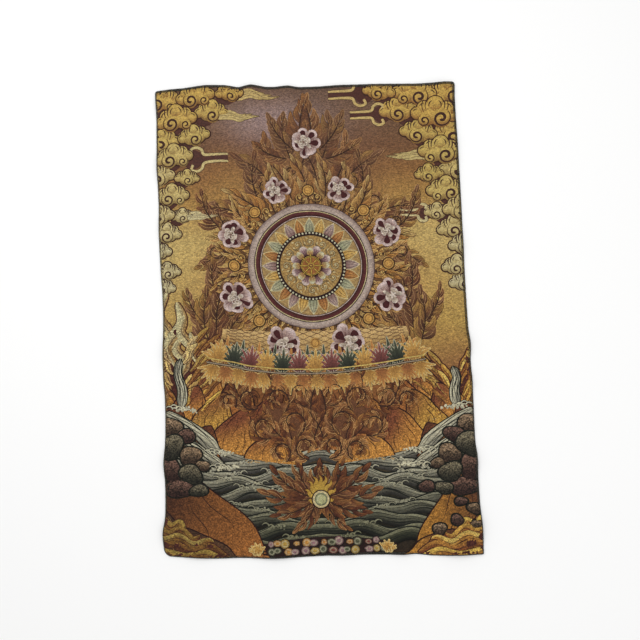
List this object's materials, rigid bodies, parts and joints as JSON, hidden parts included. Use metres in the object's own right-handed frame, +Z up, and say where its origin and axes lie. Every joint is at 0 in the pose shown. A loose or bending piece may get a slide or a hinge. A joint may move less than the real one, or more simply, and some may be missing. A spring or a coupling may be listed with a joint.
{
  "type": "embroidered thangka panel",
  "caption": "Upright rectangular brocade thangka panel with overlocked edges, lying face up and nearly flat, its edges gently rippled.",
  "frame": {"origin": "on the surface that the cloth lies on, under the middle of its outline", "axes": "+X to the right of the picture, +Y to its top, +Z up from its face"},
  "size_m": [0.605, 0.9266, 0.0085],
  "materials": {
    "brocade": "figured silk and metallic-thread brocade in golds, copper, mauve, maroon and grey-green, soft sheen, fine mottled weave",
    "overlock_thread": "dark green-black overlock thread, matte"
  },
  "bodies": {
    "root": {"cloth_panel": "brocade", "edging_top": "overlock_thread", "edging_right": "overlock_thread", "edging_bottom": "overlock_thread", "edging_left": "overlock_thread"}
  },
  "joints": []
}
